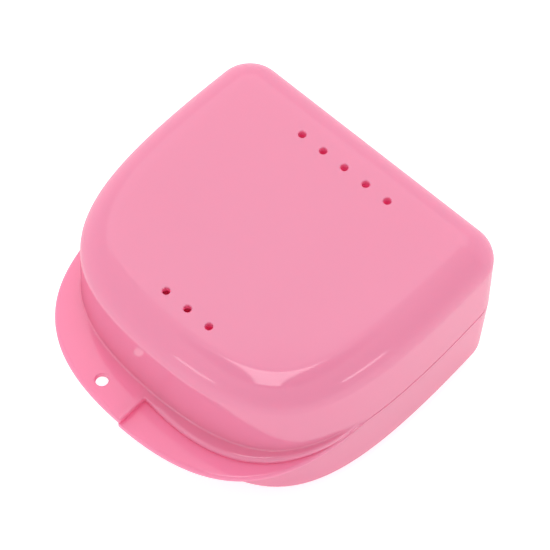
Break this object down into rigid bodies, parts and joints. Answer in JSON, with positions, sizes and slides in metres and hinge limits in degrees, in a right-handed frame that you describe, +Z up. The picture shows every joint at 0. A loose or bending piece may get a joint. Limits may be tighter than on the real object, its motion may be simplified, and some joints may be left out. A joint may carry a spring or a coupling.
{
  "type": "mouthguard with case",
  "caption": "Vented D-shaped clamshell case with split front thumb tabs and a rear hinge, holding a lined U-shaped sports mouthguard.",
  "frame": {"origin": "middle of the box round the closed case, on the surface that the case stands on", "axes": "+Z up, -Y to the front thumb tabs, +Y to the hinge, +X to the right seen from the front"},
  "size_m": [0.0754, 0.0826, 0.041],
  "materials": {
    "case_plastic": "satin gloss",
    "pin_plastic": "satin",
    "guard_shell": "smooth satin",
    "guard_liner": "soft satin"
  },
  "bodies": {
    "base": {"case_base": "case_plastic", "hinge_pin_left": "pin_plastic", "hinge_pin_right": "pin_plastic"},
    "lid": {"case_lid": "case_plastic"},
    "mouthguard": {"mouthguard_shell": "guard_shell", "mouthguard_liner": "guard_liner"}
  },
  "joints": [
    {"name": "lid_hinge", "type": "hinge", "parent": "base", "child": "lid", "pos_m": [0, 0.03905, 0.0205], "axis": [-1, 0, 0], "range_deg": [0, 180]},
    {"name": "mouthguard_lift", "type": "slide", "parent": "base", "child": "mouthguard", "axis": [0, 0, 1], "range_m": [0, 0.014]}
  ]
}
